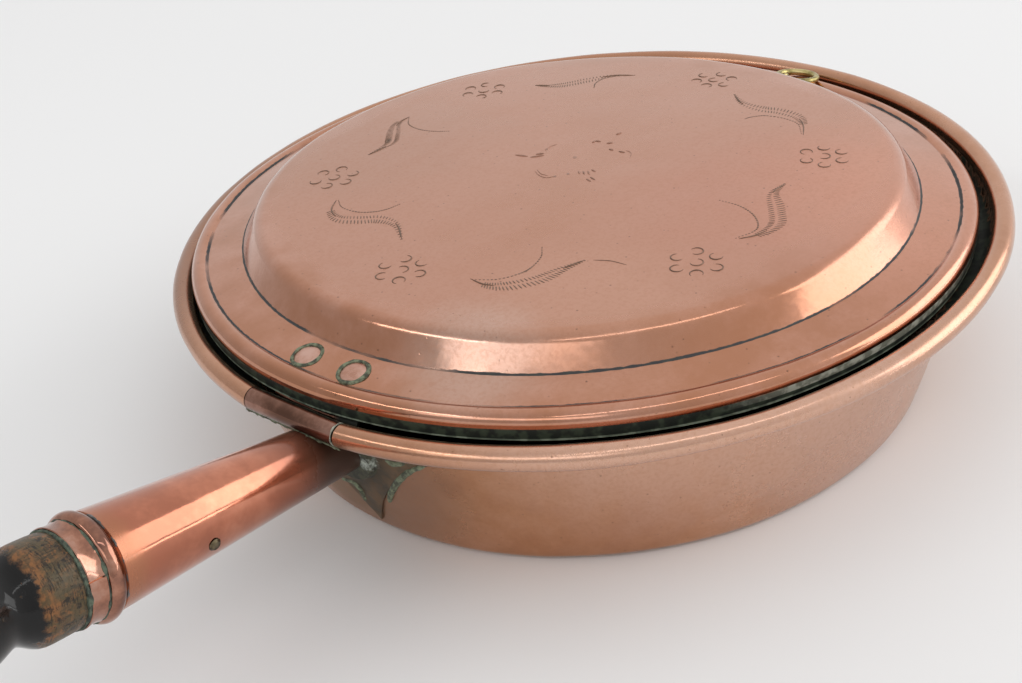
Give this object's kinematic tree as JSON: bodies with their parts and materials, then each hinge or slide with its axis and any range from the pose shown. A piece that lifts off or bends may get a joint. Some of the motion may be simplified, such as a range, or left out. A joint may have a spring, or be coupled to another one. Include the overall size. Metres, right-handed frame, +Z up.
{
  "type": "bed warming pan",
  "caption": "Round copper pan for embers with a hinged domed lid, a loose lift ring, and a long turned wooden handle in a rising socket.",
  "frame": {"origin": "centre of the pan's flat underside", "axes": "+Z up, +X along the handle's run, away from the pan"},
  "size_m": [0.9949, 0.3, 0.2158],
  "materials": {
    "pan_copper": null,
    "lid_copper": null,
    "dark_copper": null,
    "tarnished_copper": "dull, tarnished",
    "solder": "dull with verdigris",
    "iron": "dark iron wire",
    "brass": "aged satin",
    "ebonised_wood": "black varnish, worn to brown wood near the socket"
  },
  "bodies": {
    "pan": {"pan_bowl": "pan_copper", "rim_wire": "iron", "handle_plate": "tarnished_copper", "socket_solder": "solder", "socket_tube": "pan_copper", "socket_collar": "pan_copper", "socket_lip": "pan_copper", "handle_nail": "iron", "wood_handle": "ebonised_wood"},
    "lid": {"lid_shell": "lid_copper", "hinge_strap": "dark_copper", "hinge_rivets": "dark_copper", "ring_eye": "brass"},
    "ring": {"lift_ring": "brass"}
  },
  "joints": [
    {"name": "lid_hinge", "type": "hinge", "parent": "pan", "child": "lid", "pos_m": [0.14495, -0.0043, 0.06], "axis": [0.0297, 0.9996, 0], "range_deg": [0, 100]},
    {"name": "ring_swing", "type": "hinge", "parent": "lid", "child": "ring", "pos_m": [-0.12121, 0.01755, 0.06676], "axis": [0.1564, 0.9877, 0.0037], "range_deg": [0, 110]}
  ]
}
